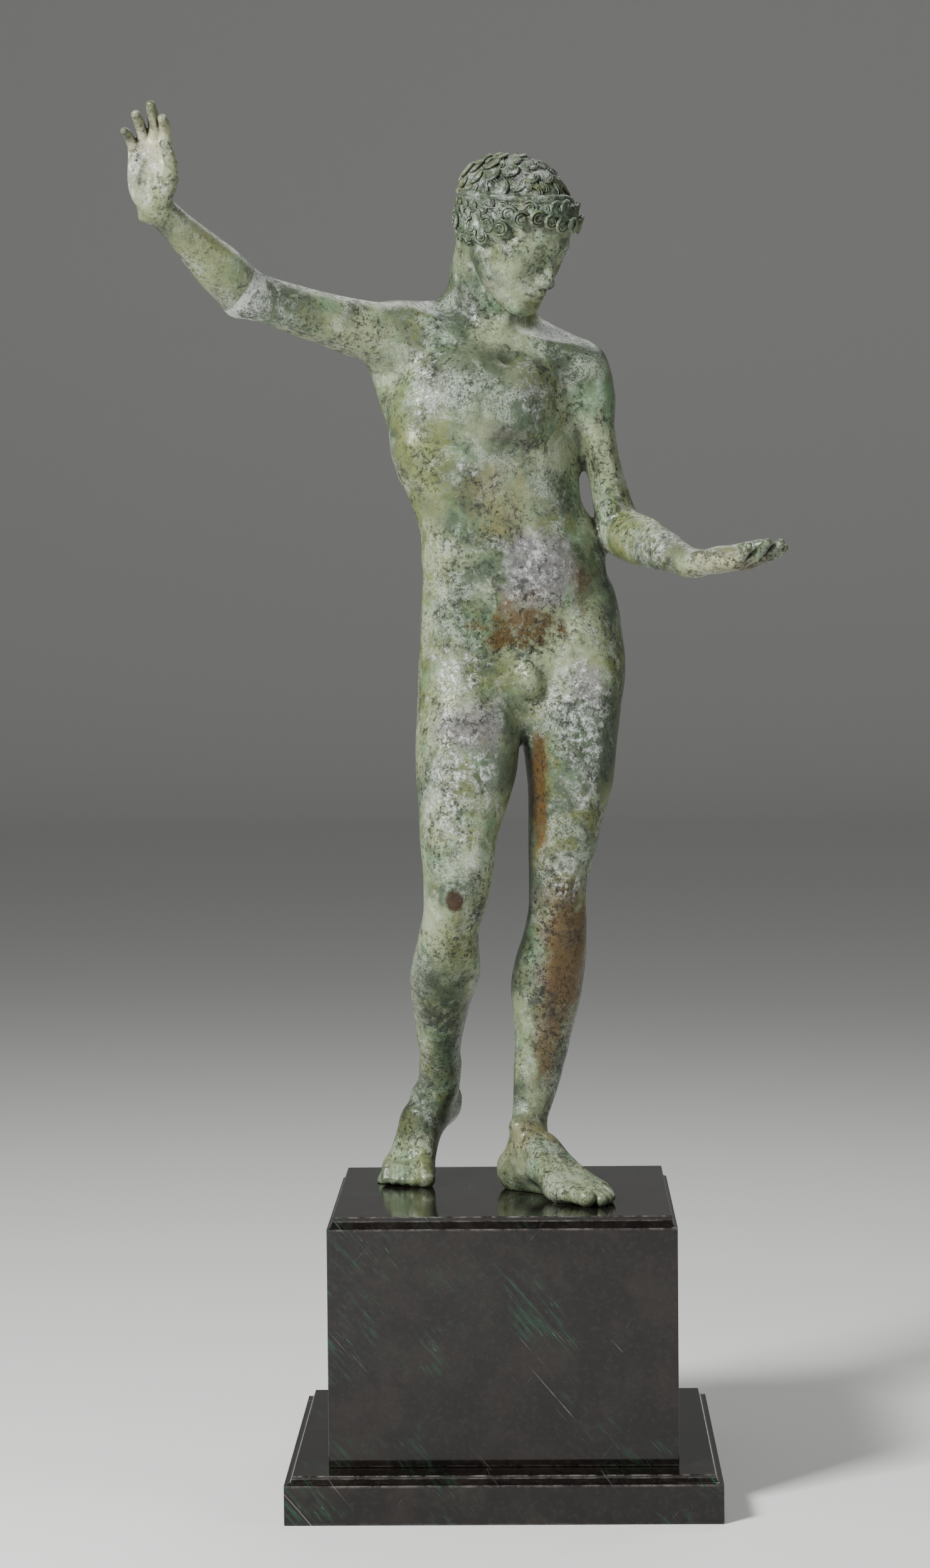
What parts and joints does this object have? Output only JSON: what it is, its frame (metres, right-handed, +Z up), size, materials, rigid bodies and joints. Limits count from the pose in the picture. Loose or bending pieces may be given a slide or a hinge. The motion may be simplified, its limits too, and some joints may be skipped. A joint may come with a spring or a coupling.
{
  "type": "bronze youth figure on plinth",
  "caption": "Standing nude youth in patinated hollow bronze, one arm raised and one held out, on a moulded black marble block and base slab",
  "frame": {"origin": "centre of the base slab's underside", "axes": "+Z up; the front faces -Y; +X is to the viewer's right, on the side of the lowered hand"},
  "size_m": [0.7869, 0.5261, 1.6897],
  "materials": {
    "bronze": "pale green and grey patina with dark pitting and brown patches",
    "black_marble_block": "polished near-black marble with faint veins",
    "black_marble_slab": "polished near-black marble with faint veins"
  },
  "bodies": {
    "root": {"youth_figure": "bronze", "plinth_block": "black_marble_block", "base_slab": "black_marble_slab"}
  },
  "joints": []
}
